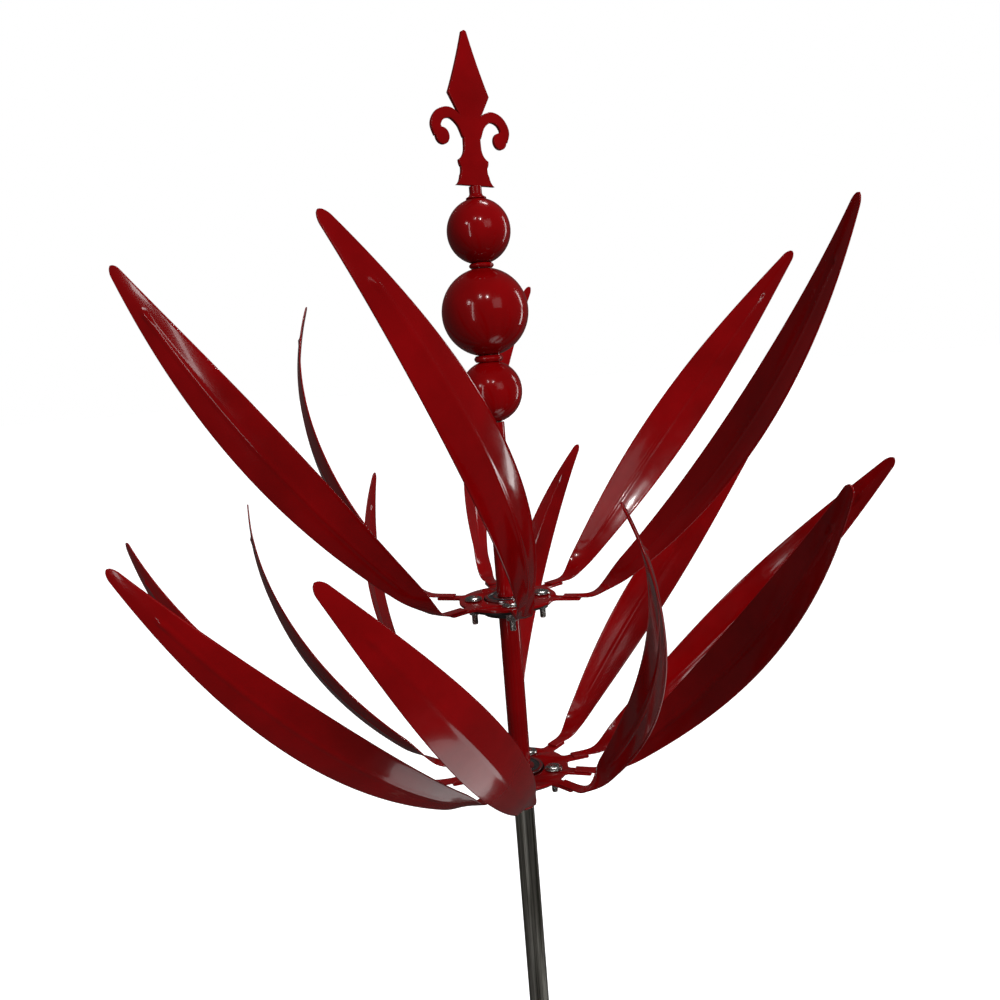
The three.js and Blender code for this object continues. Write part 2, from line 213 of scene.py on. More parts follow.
# Finial outline, up one side from its flat foot. Each place is (half width, height), and each
# curve is (the place it is pulled towards, the place where it ends).
FINIAL_THICKNESS = 3
FINIAL_TURN = math.radians(38)
FINIAL_BEVEL = 0.5
SPEAR_FOOT = (17.2, 0)
SPEAR_FOOT_CURVES = (
    ((13.8, 1.5), (12.8, 7)),
    ((11.6, 8), (11.6, 12.5)),
    ((13.2, 14), (13.2, 17.5)),
    ((8.6, 19.5), (7.6, 25)),
    ((6.6, 37), (9.4, 47.5)),
)
SPEAR_SHOULDER = (18, 62)
SPEAR_POINT_CURVE = ((8.9, 82), (1.9, 104))
SPEAR_POINT = (0, 105)
SCROLL_LINE = [(5, 34), (9.5, 43), (17.5, 48.3), (26, 46.5), (30.6, 40), (28.4, 33.5)]
SCROLL_ROOT_WIDTH = 6.4
SCROLL_TIP_WIDTH = 8.6
SCROLL_END = (25.6, 32.4)
SCROLL_END_RADIUS = 5.8

# Camera, in metres and degrees, above the middle of the lower hub
CAMERA_BACK = 0.6639
CAMERA_ABOVE_HUB = 0.3179
CAMERA_YAW = -1.04
CAMERA_PITCH = 8.96
CAMERA_ROLL = -4.69
CAMERA_LENS = 31.82
CAMERA_SENSOR = 36
CAMERA_SHIFT = (0.0154, 0.0076)

# Floor discs, in metres: name, centre, radius, lift, and whether reflections show it
FLOORS = (
    ("floor", (0, 0), 60, 0, False),
    ("floor_pad", (0.38, -0.05), 0.3, 0.0005, True),
)
FLOOR_SIDES = 96

# Soft suns: name, aim, strength. They light the object and don't show in reflections.
SUNS = (
    ("key", (-0.55, 0.8, -0.38), 2.05),
    ("fill", (0.35, -0.8, -0.45), 1.7),
)
SUN_ANGLE = math.radians(30)

# Lamps, in metres and watts, aimed at the middle of the blades: name, place, size, power
LAMPS = (
    ("tall_left", (-1.6, -2.6, 1.1), (0.14, 2.4), 7),
    ("tall_right", (2.6, 1.2, 1.2), (0.25, 2.6), 14),
    ("overhead", (0.3, 0.8, 3.0), (0.9, 0.25), 10),
    ("broad_right", (2.2, -3.2, 2.3), (1.6, 1.6), 6),
    ("front_left", (-2.2, -2.4, 2.4), (0.4, 0.4), 5),
    ("ceiling_spot_left", (-0.35, -1.9, 2.5), (0.08, 0.08), 4),
    ("ceiling_spot_right", (0.35, -1.9, 2.4), (0.08, 0.08), 4),
)
LAMP_AIM = Vector((0, 0, 0.8))


# ---------------------------------------------------------------- meshes


def clean(mesh, weld=None, face_outward=True):
    """Joins points closer than weld metres and turns every face outward."""
    shape = bmesh.new()
    shape.from_mesh(mesh)
    if weld is not None:
        bmesh.ops.remove_doubles(shape, verts=shape.verts, dist=weld)
    if face_outward:
        bmesh.ops.recalc_face_normals(shape, faces=shape.faces)
    shape.to_mesh(mesh)
    shape.free()


def shade(mesh, sharp_angle=SHARP_ANGLE):
    mesh.shade_smooth()
    mesh.set_sharp_from_angle(angle=math.radians(sharp_angle))


def link_object(name, data):
    item = bpy.data.objects.new(name, data)
    bpy.context.scene.collection.objects.link(item)
    return item


def add_mesh(name, points, faces, sharp_angle=SHARP_ANGLE):
    mesh = bpy.data.meshes.new(name)
    mesh.from_pydata((np.asarray(points, float) * MM).tolist(), [], faces)
    clean(mesh)
    shade(mesh, sharp_angle)
    return link_object(name, mesh)


def place(piece, node, slot):
    """The piece stands for a CAD node, rides on its body and wears its slot's material."""
    piece.data.materials.clear()
    piece.data.materials.append(MATERIALS[slot])
    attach(piece, frame["nodes"][node]["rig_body"])
    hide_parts(node)


def grid_faces(rows, columns, wrap_rows, wrap_columns):
    faces = []
    for row in range(rows if wrap_rows else rows - 1):
        next_row = (row + 1) % rows
        for column in range(columns if wrap_columns else columns - 1):
            next_column = (column + 1) % columns
            faces.append((
                row * columns + column,
                row * columns + next_column,
                next_row * columns + next_column,
                next_row * columns + column,
            ))
    return faces


def eased(profile, reach, closed, steps=4):
    """The profile with each corner turned in a small curve."""
    count = len(profile)
    points = []
    for index, here in enumerate(profile):
        here = np.array(here, float)
        at_end = index in (0, count - 1)
        if (at_end and not closed) or here[0] < 1e-6:
            points.append(here)
            continue
        before = np.array(profile[index - 1], float) - here
        after = np.array(profile[(index + 1) % count], float) - here
        start = here + before * min(0.45, reach / np.linalg.norm(before))
        end = here + after * min(0.45, reach / np.linalg.norm(after))
        for step in range(steps + 1):
            t = step / steps
            points.append((1 - t) ** 2 * start + 2 * t * (1 - t) * here + t * t * end)
    return np.array(points)


def lathe(name, profile, closed=True, sides=96, ease=0.35, centre=(0, 0, 0)):
    """A piece turned about Z from [radius, height] points. An open profile ends on the axis."""
    curve = eased(profile, ease, closed)
    angles = np.arange(sides) * 2 * math.pi / sides
    radius = curve[:, 0][:, None]
    x = radius * np.cos(angles)
    y = radius * np.sin(angles)
    z = np.repeat(curve[:, 1][:, None], sides, 1)
    points = np.stack([x, y, z], -1).reshape(-1, 3) + np.array(centre)
    piece = add_mesh(name, points, grid_faces(len(curve), sides, closed, True))
    if not closed:
        clean(piece.data, WELD_FINE, face_outward=False)
    return piece


def plate(name, outlines, thickness, bevel):
    """A flat plate from closed outlines, those inside another being holes, standing on z = 0."""
    curve = bpy.data.curves.new(name, "CURVE")
    curve.dimensions = "2D"
    curve.fill_mode = "BOTH"
    curve.extrude = (thickness / 2 - bevel) * MM
    curve.bevel_depth = bevel * MM
    curve.bevel_resolution = 2
    curve.offset = -bevel * MM
    for outline in outlines:
        spline = curve.splines.new("POLY")
        spline.points.add(len(outline) - 1)
        for point, (x, y) in zip(spline.points, outline):
            point.co = (x * MM, y * MM, 0, 1)
        spline.use_cyclic_u = True
    source = link_object(name + "_outline", curve)
    bpy.context.view_layer.update()
    evaluated = source.evaluated_get(bpy.context.evaluated_depsgraph_get())
    mesh = bpy.data.meshes.new_from_object(evaluated)
    bpy.data.objects.remove(source)
    mesh.transform(Matrix.Translation((0, 0, thickness / 2 * MM)))
    return link_object(name, mesh)


def smooth_edges(piece):
    clean(piece.data, WELD_COARSE)
    shade(piece.data)


# ---------------------------------------------------------------- materials


class Nodes:
    """Short calls for wiring one material."""

    def __init__(self, name):
        self.material = bpy.data.materials.new(name)
        self.material.use_nodes = True
        self.tree = self.material.node_tree
        self.shader = self.tree.nodes["Principled BSDF"]

    def add(self, kind, **values):
        node = self.tree.nodes.new("ShaderNode" + kind)
        for key, value in values.items():
            if hasattr(node, key):
                setattr(node, key, value)
            else:
                node.inputs[key.replace("_", " ").title()].default_value = value
        return node

    def link(self, source, target):
        self.tree.links.new(source, target)

    def set(self, **values):
        for key, value in values.items():
            title = key.replace("_", " ").title().replace("Ior", "IOR")
            self.shader.inputs[title].default_value = value

    def place(self, scale=(1, 1, 1)):
        """Object-space position, stretched."""
        source = self.add("TexCoord")
        mapping = self.add("Mapping")
        mapping.inputs["Scale"].default_value = scale
        self.link(source.outputs["Object"], mapping.inputs["Vector"])
        return mapping.outputs["Vector"]

    def noise(self, vector, scale, detail=3, roughness=0.5):
        node = self.add("TexNoise", scale=scale, detail=detail, roughness=roughness)
        self.link(vector, node.inputs["Vector"])
        return node.outputs["Fac"]

    def ramp(self, source, stops):
        node = self.add("ValToRGB")
        ramp = node.color_ramp
        while len(ramp.elements) < len(stops):
            ramp.elements.new(0.5)
        for element, (position, colour) in zip(ramp.elements, stops):
            element.position = position
            element.color = (*colour, 1)
        self.link(source, node.inputs["Fac"])
        return node.outputs["Color"]

    def span(self, source, low, high):
        """A noise, whose middle range is 0.3 to 0.7, stretched to reach from low to high."""
        node = self.add("MapRange")
        node.inputs["From Min"].default_value = 0.3
        node.inputs["From Max"].default_value = 0.7
        node.inputs["To Min"].default_value = low
        node.inputs["To Max"].default_value = high
        self.link(source, node.inputs["Value"])
        return node.outputs["Result"]

    def bump(self, height, strength, distance, normal=None):
        node = self.add("Bump")
        node.inputs["Strength"].default_value = strength
        node.inputs["Distance"].default_value = distance
        self.link(height, node.inputs["Height"])
        if normal is not None:
            self.link(normal, node.inputs["Normal"])
        return node.outputs["Normal"]


def red_enamel():
    """Dipped gloss enamel: pooled colour, faint waves and specks under a clear hard skin."""
    n = Nodes("red_enamel_gloss")
    here = n.place()
    pooled = n.noise(here, 22, 4, 0.6)
    colour = n.ramp(pooled, [(0.3, (0.19, 0.0004, 0.001)), (0.72, (0.28, 0.0008, 0.002))])
    n.link(colour, n.shader.inputs["Base Color"])
    n.link(n.span(n.noise(here, 60, 3), 0.10, 0.18), n.shader.inputs["Roughness"])
    waves = n.bump(n.noise(here, 34, 2, 0.4), 0.16, 0.0014)
    peel = n.bump(n.noise(here, 900, 2), 0.02, 0.0001, waves)
    n.link(peel, n.shader.inputs["Normal"])
    n.set(coat_weight=0.25, coat_roughness=0.03, specular_ior_level=0.35)
    return n.material


def bare_steel():
    """Drawn steel tube: long streaks down its length, with a fine grain."""
    n = Nodes("bare_steel_drawn")
    long_place = n.place((1, 1, 0.012))
    streaks = n.noise(long_place, 520, 3, 0.65)
    patches = n.noise(n.place((1, 1, 0.3)), 40, 3)
    mix = n.add("Math", operation="MULTIPLY")
    n.link(streaks, mix.inputs[0])
    n.link(n.span(patches, 0.8, 1.15), mix.inputs[1])
    stops = [(0.34, (0.15, 0.14, 0.115)), (0.5, (0.44, 0.42, 0.37)), (0.66, (0.80, 0.78, 0.71))]
    n.link(n.ramp(mix.outputs[0], stops), n.shader.inputs["Base Color"])
    n.link(n.span(streaks, 0.3, 0.5), n.shader.inputs["Roughness"])
    n.link(n.bump(streaks, 0.25, 0.0002), n.shader.inputs["Normal"])
    n.set(metallic=1.0)
    return n.material


def stainless():
    """Polished stainless of the bolts and nuts."""
    n = Nodes("stainless_turned")
    here = n.place()
    fine = n.noise(here, 1500, 2)
    stops = [(0.3, (0.50, 0.50, 0.48)), (0.7, (0.78, 0.78, 0.75))]
    n.link(n.ramp(n.noise(here, 180, 3), stops), n.shader.inputs["Base Color"])
    n.link(n.span(fine, 0.14, 0.3), n.shader.inputs["Roughness"])
    n.link(n.bump(fine, 0.12, 0.0001), n.shader.inputs["Normal"])
    n.set(metallic=1.0)
    return n.material


def black_iron():
    """Pressed iron under thin black paint."""
    n = Nodes("black_iron_painted")
    here = n.place()
    grain = n.noise(here, 700, 3)
    stops = [(0.35, (0.006, 0.006, 0.007)), (0.7, (0.022, 0.021, 0.022))]
    n.link(n.ramp(n.noise(here, 60, 4), stops), n.shader.inputs["Base Color"])
    n.link(n.span(grain, 0.3, 0.5), n.shader.inputs["Roughness"])
    n.link(n.bump(grain, 0.2, 0.0002), n.shader.inputs["Normal"])
    return n.material


def seal_rubber():
    """Matt moulded rubber."""
    n = Nodes("seal_rubber_moulded")
    here = n.place()
    stops = [(0.3, (0.008, 0.008, 0.009)), (0.7, (0.02, 0.02, 0.021))]
    n.link(n.ramp(n.noise(here, 300, 3), stops), n.shader.inputs["Base Color"])
    n.link(n.span(n.noise(here, 800, 2), 0.5, 0.75), n.shader.inputs["Roughness"])
    return n.material


def bearing_steel():
    """Ground steel, with fine rings round the axis."""
    n = Nodes("bearing_steel_ground")
    here = n.place((1, 1, 6))
    rings = n.noise(here, 900, 2)
    stops = [(0.3, (0.36, 0.36, 0.37)), (0.7, (0.6, 0.6, 0.6))]
    n.link(n.ramp(n.noise(n.place(), 120, 3), stops), n.shader.inputs["Base Color"])
    n.link(n.span(rings, 0.12, 0.26), n.shader.inputs["Roughness"])
    n.link(n.bump(rings, 0.1, 0.0001), n.shader.inputs["Normal"])
    n.set(metallic=1.0)
    return n.material


def pale_floor():
    n = Nodes("pale_floor")
    stops = [(0.3, (0.86, 0.86, 0.86)), (0.7, (0.9, 0.9, 0.9))]
    n.link(n.ramp(n.noise(n.place(), 3, 4), stops), n.shader.inputs["Base Color"])
    n.set(roughness=0.9, emission_color=(1, 1, 1, 1), emission_strength=0.8)
    return n.material


MATERIALS = {
    "red_enamel": red_enamel(),
    "bare_steel": bare_steel(),
    "stainless": stainless(),
    "black_iron": black_iron(),
    "seal_rubber": seal_rubber(),
    "bearing_steel": bearing_steel(),
}


# ---------------------------------------------------------------- blades


def smoothstep(x, low, high):
    t = np.clip((x - low) / (high - low), 0, 1)
    return t * t * (3 - 2 * t)


def unit(v):
    return v / np.linalg.norm(v)


def blade_width(along):
    ends = BLADE_STRAP_WIDTH + (BLADE_TIP_WIDTH - BLADE_STRAP_WIDTH) * along
    width = ends + (BLADE_FULL_WIDTH - ends) * math.sin(math.pi * along)
    into_tip = max(0, (along - TIP_ROUND_START) / (1 - TIP_ROUND_START))
    return width * math.sqrt(max(0.0, 1 - into_tip**2))


def blade_line(slope, full_bend, roll):
    """The middle line of a blade leaving the hub along +X, with its frame at each distance."""
    outward = np.array([1.0, 0, 0])
    clockwise = np.array([0, -1.0, 0])
    rise = np.array([math.cos(slope), 0, math.sin(slope)])
    above = np.array([-math.sin(slope), 0, math.cos(slope)])
    inward = above * math.cos(roll) + clockwise * math.sin(roll)
    rolled_across = unit(np.cross(inward, rise))
    point = np.array([SPOKE_END - BLADE_LAP, 0, SPIDER_THICKNESS + GAP])
    travel = BLADE_LENGTH + BLADE_LAP
    stations = []
    for step in range(BLADE_LINE_STEPS + 1):
        distance = travel * step / BLADE_LINE_STEPS - BLADE_LAP
        along = max(0, distance / BLADE_LENGTH)
        bend = full_bend * (along + BEND_GROWTH * along * (1 - along))
        curved = rise * math.cos(bend) + inward * math.sin(bend)
        folded = smoothstep(distance, 0, FOLD_LENGTH)
        tangent = unit(outward * (1 - folded) + curved * folded)
        twisted = smoothstep(distance, 0, TWIST_LENGTH)
        across = -clockwise * (1 - twisted) + rolled_across * twisted
        across = unit(across - tangent * across.dot(tangent))
        stations.append((along, point.copy(), across, np.cross(tangent, across)))
        point = point + tangent * travel / BLADE_LINE_STEPS
    return stations


def blade_section(along):
    """Points round one cross-section: [distance across, height], concave side up."""
    half = max(LEAST_HALF_WIDTH, blade_width(along) / 2)
    dish = BLADE_DISH * math.sin(math.pi * along)
    rib_half = min(RIB_HALF_WIDTH, half * RIB_WIDTH_SHARE)
    rib_room = min(1, half / RIB_FULL_FROM)
    rib = RIB_DEPTH * rib_room * smoothstep(along, RIB_START, RIB_START + RIB_RUN_IN)
    rib *= 1 - smoothstep(along, RIB_END - RIB_RUN_OUT, RIB_END)
    from_dimple = (along - RIB_END + DIMPLE_BEFORE_END) / DIMPLE_REACH
    dimple = DIMPLE_DEPTH * math.exp(-(from_dimple**2)) * rib_room
    edge = min(BLADE_THICKNESS * EDGE_SHARE, half / 2)
    near = rib_half * np.linspace(0, 1, 7)
    far = np.linspace(rib_half, half - edge, 8)[1:]
    rim = half - edge * (1 - np.array([0.6, 1.0]))
    one_side = np.concatenate([near, far, rim])
    across = np.concatenate([-one_side[:0:-1], one_side])
    share = np.abs(across) / half
    middle = -dish * (1 - share**DISH_POWER)
    in_rib = np.abs(across) < rib_half
    wave = np.where(in_rib, 0.5 + 0.5 * np.cos(math.pi * across / rib_half), 0)
    middle = middle - wave * (rib + dimple)
    from_edge = np.clip((half - np.abs(across)) / edge, 0, 1)
    thick = BLADE_THICKNESS / 2 * np.sqrt(1 - (1 - from_edge) ** 2 * EDGE_ROUNDING)
    top = np.stack([across, middle + thick + BLADE_THICKNESS / 2], -1)
    bottom = np.stack([across, middle - thick + BLADE_THICKNESS / 2], -1)
    return np.concatenate([top, bottom[::-1]])


def blade(node, angles, direction, hub_z):
    """Cross-sections along the blade's line, closed at both ends."""
    line = blade_line(*[math.radians(angle) for angle in angles])
    last = len(line) - 1
    tip_run = last * BLADE_TIP_RUN
    steps = np.concatenate([
        np.linspace(0, tip_run, BLADE_STEPS),
        np.linspace(tip_run, last, BLADE_TIP_STEPS)[1:],
    ])
    turn = np.array(Matrix.Rotation(direction, 3, "Z"))
    rings = []
    for step in steps:
        low = int(step)
        high = min(last, low + 1)
        t = step - low
        along, point, across, normal = (
            (1 - t) * np.asarray(a) + t * np.asarray(b) for a, b in zip(line[low], line[high])
        )
        section = blade_section(float(along))
        rings.append(point + section[:, :1] * across + section[:, 1:] * normal)
    points = np.array(rings)
    columns = points.shape[1]
    flat = points.reshape(-1, 3) @ turn.T + np.array([0, 0, hub_z])
    faces = grid_faces(len(rings), columns, False, True)
    half = columns // 2
    for row in (0, len(rings) - 1):
        base = row * columns
        for column in range(half - 1):
            faces.append((base + column, base + column + 1,
                          base + columns - 2 - column, base + columns - 1 - column))
    place(add_mesh(f"{node}_form", flat, faces, BLADE_SHARP_ANGLE), node, "red_enamel")


# ---------------------------------------------------------------- hubs


def ring_outline(radius, count, centre=(0, 0)):
    angles = np.arange(count) * 2 * math.pi / count
    return np.stack([centre[0] + radius * np.cos(angles), centre[1] + radius * np.sin(angles)], -1)


def spoke_outline(directions):
    """The star's edge: the disc, broken by straight spokes with rounded roots."""
    half = SPOKE_WIDTH / 2
    root = SPIDER_DISC_RADIUS + SPOKE_ROOT_REACH
    gap_angle = math.asin(half / SPIDER_DISC_RADIUS) + SPOKE_ROOT_FILLET
    points = []
    ordered = sorted(d % (2 * math.pi) for d in directions)
    for index, direction in enumerate(ordered):
        radial = np.array([math.cos(direction), math.sin(direction)])
        side = np.array([-radial[1], radial[0]])
        for along, offset in (
            (root, -half),
            (SPOKE_END - SPOKE_CORNER, -half), (SPOKE_END, -half + SPOKE_CORNER),
            (SPOKE_END, half - SPOKE_CORNER), (SPOKE_END - SPOKE_CORNER, half),
            (root, half),
        ):
            points.append(radial * along + side * offset)
        following = ordered[(index + 1) % len(ordered)]
        if following <= direction:
            following += 2 * math.pi
        for angle in np.linspace(direction + gap_angle, following - gap_angle, 10):
            points.append(SPIDER_DISC_RADIUS * np.array([math.cos(angle), math.sin(angle)]))
    return np.array(points)


def bolt_places(tier):
    for index in range(BOLT_COUNT):
        angle = math.radians(FIRST_BOLT[tier] + 360 / BOLT_COUNT * index)
        yield index + 1, angle, (BOLT_CIRCLE * math.cos(angle), BOLT_CIRCLE * math.sin(angle))


def spider(tier, directions):
    outlines = [spoke_outline(directions), ring_outline(SPIDER_BORE_RADIUS, 96)]
    for _, _, centre in bolt_places(tier):
        outlines.append(ring_outline(BOLT_RADIUS + GAP, 24, centre))
    piece = plate(f"{tier}_spider_form", outlines, SPIDER_THICKNESS, PLATE_BEVEL)
    piece.data.transform(Matrix.Translation((0, 0, HUB_Z[tier] * MM)))
    smooth_edges(piece)
    place(piece, f"{tier}_spider", "red_enamel")


def ring_row(radius, angles, height):
    """One row of points at a height. The radius is one number, or one for each angle."""
    return np.stack([radius * np.cos(angles), radius * np.sin(angles),
                     np.full(len(angles), height)], -1)


def threaded_shank(bottom, top, angles):
    """Rows of a shank whose radius follows a screw thread."""
    rows = []
    for height in np.arange(bottom, top, THREAD_PITCH / THREAD_STEPS):
        phase = (height / THREAD_PITCH - angles / (2 * math.pi)) % 1
        ridge = 1 - np.abs(phase * 2 - 1)
        lead = min(1, (height - bottom) / THREAD_LEAD)
        rows.append(ring_row(BOLT_RADIUS - THREAD_DEPTH * (1 - ridge * lead), angles, height))
    return rows


def bolt(node, centre, hub_z):
    """A threaded bolt with a domed head."""
    angles = np.arange(BOLT_SIDES) * 2 * math.pi / BOLT_SIDES
    seat = SPIDER_THICKNESS + GAP
    plain = seat - BOLT_PLAIN_LENGTH
    rim = seat + BOLT_HEAD_RIM
    rows = threaded_shank(seat - BOLT_SHANK, plain, angles)
    head = eased([
        [BOLT_RADIUS, plain], [BOLT_RADIUS, seat],
        [BOLT_HEAD_RADIUS - BOLT_HEAD_CHAMFER, seat], [BOLT_HEAD_RADIUS, rim],
    ], 0.15, False, 2).tolist()
    for step in range(1, BOLT_HEAD_STEPS):
        rise = step / BOLT_HEAD_STEPS * math.pi / 2
        head.append([BOLT_HEAD_RADIUS * math.cos(rise) ** BOLT_HEAD_FULLNESS,
                     rim + (BOLT_HEAD_HEIGHT - BOLT_HEAD_RIM) * math.sin(rise)])
    head.append([0.02, seat + BOLT_HEAD_HEIGHT])
    rows += [ring_row(radius, angles, height) for radius, height in head]
    points = np.concatenate(rows) + np.array([*centre, hub_z])
    faces = grid_faces(len(rows), BOLT_SIDES, False, True)
    faces.append(tuple(range(BOLT_SIDES))[::-1])
    faces.append(tuple((len(rows) - 1) * BOLT_SIDES + i for i in range(BOLT_SIDES)))
    place(add_mesh(f"{node}_form", points, faces, 45), node, "stainless")


def nut(node, centre, turn, hub_z):
    """A flanged hexagon nut, with chamfered corners below and a plain bore."""
    angles = np.arange(NUT_SIDES) * 2 * math.pi / NUT_SIDES
    flat_half = math.radians(30)
    hexagon = NUT_ACROSS_FLATS / 2 / np.cos((angles + flat_half) % (2 * flat_half) - flat_half)
    corner = NUT_ACROSS_FLATS / 2 / math.cos(flat_half)
    top = -GAP - FLANGE_THICKNESS - GAP
    bottom = top - NUT_HEIGHT
    bore = BOLT_RADIUS + GAP
    rows = [
        (bore, top),
        (NUT_FLANGE_RADIUS - 0.15, top),
        (NUT_FLANGE_RADIUS, top - 0.15),
        (NUT_FLANGE_RADIUS, top - NUT_FLANGE_HEIGHT * 0.5),
        (NUT_FLANGE_RADIUS - 0.4, top - NUT_FLANGE_HEIGHT * 0.62),
        (np.minimum(hexagon + 0.35, NUT_FLANGE_RADIUS - 1), top - NUT_FLANGE_HEIGHT),
        (hexagon, top - NUT_FLANGE_HEIGHT - 0.25),
        (hexagon, bottom + 0.9),
        (np.minimum(hexagon, corner - 0.25), bottom + 0.45),
        (np.minimum(hexagon, corner - 0.55), bottom),
        (bore + 0.35, bottom),
        (bore, bottom + 0.35),
    ]
    points = np.concatenate([ring_row(radius, angles + turn, height) for radius, height in rows])
    points += np.array([*centre, hub_z])
    faces = grid_faces(len(rows), NUT_SIDES, True, True)
    place(add_mesh(f"{node}_form", points, faces, 32), node, "stainless")


def bearing_and_flange(tier):
    z = HUB_Z[tier]
    top = z + BEARING_TOP
    bottom = top - BEARING_HEIGHT
    inner = cad_radius(f"{tier}_inner_race")
    outer = cad_radius(f"{tier}_outer_race")
    for race, inside, outside, ease in (
        ("inner_race", SPINDLE_BORE, inner, 0.5), ("outer_race", RACE_INSIDE, outer, 0.6),
    ):
        profile = [[inside, bottom], [outside, bottom], [outside, top], [inside, top]]
        place(lathe(f"{tier}_{race}_form", profile, ease=ease), f"{tier}_{race}", "bearing_steel")

    seal_low, seal_high = cad_heights(f"{tier}_bearing_seal")
    near = inner + GAP
    far = RACE_INSIDE - GAP
    seal = [
        [near, seal_low], [far, seal_low], [far, seal_high],
        [far - SEAL_STEP, seal_high - SEAL_DISH], [near + SEAL_STEP, seal_high - SEAL_DISH],
        [near, seal_high],
    ]
    place(lathe(f"{tier}_seal_form", seal, ease=0.2), f"{tier}_bearing_seal", "seal_rubber")

    cup = outer + GAP
    shelf = bottom - GAP
    flange_top = z - GAP
    flange_bottom = flange_top - FLANGE_THICKNESS
    rim = cad_radius(f"{tier}_flange")
    profile = [
        [cup, flange_top], [cup, shelf], [cup - CUP_LIP, shelf], [cup - CUP_LIP, shelf - CUP_WALL],
        [cup + CUP_WALL, shelf - CUP_WALL], [cup + CUP_WALL, flange_bottom],
        [rim, flange_bottom], [rim, flange_top],
    ]
    piece = lathe(f"{tier}_flange_form", profile, ease=0.5, sides=128)
    place(piece, f"{tier}_flange", "black_iron")


def hub(tier):
    first_spoke, slope, bend = TIERS[tier]
    trims = TRIMS[tier]
    directions = [
        math.radians(first_spoke + 360 / len(trims) * index + turn)
        for index, (_, turn, _, _) in enumerate(trims)
    ]
    spider(tier, directions)
    bearing_and_flange(tier)
    for number, angle, centre in bolt_places(tier):
        bolt(f"{tier}_bolt_{number}", centre, HUB_Z[tier])
        nut(f"{tier}_nut_{number}", centre, angle, HUB_Z[tier])
    for index, (lean, _, bend_trim, roll_trim) in enumerate(trims):
        angles = (slope + lean, bend + bend_trim, BLADE_ROLL + roll_trim)
        blade(f"{tier}_blade_{index + 1}", angles, directions[index], HUB_Z[tier])


# ---------------------------------------------------------------- mast


def tube(node, inside, slot):
    low, high = cad_heights(node)
    radius = cad_radius(node)
    profile = [[inside, low], [radius, low], [radius, high], [inside, high]]
    place(lathe(f"{node}_form", profile, ease=0.4), node, slot)


def mast():
    for node in ("lower_pole", "upper_pole"):
        tube(node, POLE_INSIDE, "bare_steel")

    low, high = cad_heights("pole_sleeve")
    radius = cad_radius("pole_sleeve")
    end_radius = radius - SLEEVE_TAPER_DEPTH
    profile = [
        [SLEEVE_INSIDE, low], [end_radius, low], [radius, low + SLEEVE_TAPER],
        [radius, high - SLEEVE_TAPER], [end_radius, high], [SLEEVE_INSIDE, high],
    ]
    place(lathe("pole_sleeve_form", profile, ease=0.5), "pole_sleeve", "bare_steel")

    for node in ("spacer_middle", "spacer_top"):
        tube(node, SPINDLE_BORE, "red_enamel")

    low, high = cad_heights("hub_seat")
    radius = cad_radius("hub_seat")
    profile = [
        [SPINDLE_BORE, low], [SPACER_RADIUS, low], [radius, high - HUB_SEAT_RIM],
        [radius, high], [SPINDLE_BORE, high],
    ]
    place(lathe("hub_seat_form", profile, ease=0.8), "hub_seat", "red_enamel")

    low, high = cad_heights("spindle")
    _, pole_top = cad_heights("upper_pole")
    foot = cad_radius("spindle")
    profile = [
        [0, low], [foot, low], [foot, pole_top],
        [SPINDLE_RADIUS, pole_top], [SPINDLE_RADIUS, high], [0, high],
    ]
    place(lathe("spindle_form", profile, closed=False), "spindle", "bare_steel")


def ball_centre(name):
    low, high = cad_heights(f"ball_{name}")
    return (low + high) / 2


def ball_surface(name, side, at):
    """Height of a ball's surface, a gap clear of it, above (1) or below (-1) its centre."""
    reach = cad_radius(f"ball_{name}") + GAP
    return ball_centre(name) + side * math.sqrt(reach**2 - at**2)


def balls():
    for name in ("low", "middle", "high"):
        radius = cad_radius(f"ball_{name}")
        inside = radius - BALL_WALL
        outer_end = math.acos(SPINDLE_BORE / radius)
        inner_end = math.acos(SPINDLE_BORE / inside)
        profile = [
            [r * math.cos(a), r * math.sin(a)]
            for r, arc in (
                (radius, np.linspace(-outer_end, outer_end, 72)),
                (inside, np.linspace(inner_end, -inner_end, 24)),
            )
            for a in arc
        ]
        piece = lathe(f"ball_{name}_form", profile, sides=128, ease=0.01,
                      centre=(0, 0, ball_centre(name)))
        place(piece, f"ball_{name}", "red_enamel")
    for node, low_ball, high_ball in (
        ("neck_low", "low", "middle"), ("neck_high", "middle", "high"),
    ):
        neck(node, low_ball, high_ball)


def neck(node, low_ball, high_ball):
    """A ring between two balls, rounded outside and seated on both."""
    radius = cad_radius(node)
    edge = radius * NECK_EDGE_SHARE
    rim_low = ball_surface(low_ball, 1, edge) + GAP
    rim_high = ball_surface(high_ball, -1, edge) - GAP
    profile = [[SPINDLE_BORE, ball_surface(low_ball, 1, SPINDLE_BORE) + GAP], [edge, rim_low]]
    for step in range(1, NECK_STEPS):
        swing = math.pi * step / NECK_STEPS
        profile.append([edge + (radius - edge) * math.sin(swing),
                        rim_low + (rim_high - rim_low) * step / NECK_STEPS])
    profile.append([edge, rim_high])
    profile.append([SPINDLE_BORE, ball_surface(high_ball, -1, SPINDLE_BORE) - GAP])
    place(lathe(f"{node}_form", profile, ease=0.3), node, "red_enamel")


def curve_points(start, steps, *controls):
    """Points along joined quadratic curves: each control is (middle, end)."""
    points = [np.array(start, float)]
    for middle, end in controls:
        a, b, c = points[-1], np.array(middle, float), np.array(end, float)
        for step in range(1, steps + 1):
            t = step / steps
            points.append((1 - t) ** 2 * a + 2 * t * (1 - t) * b + t * t * c)
    return points


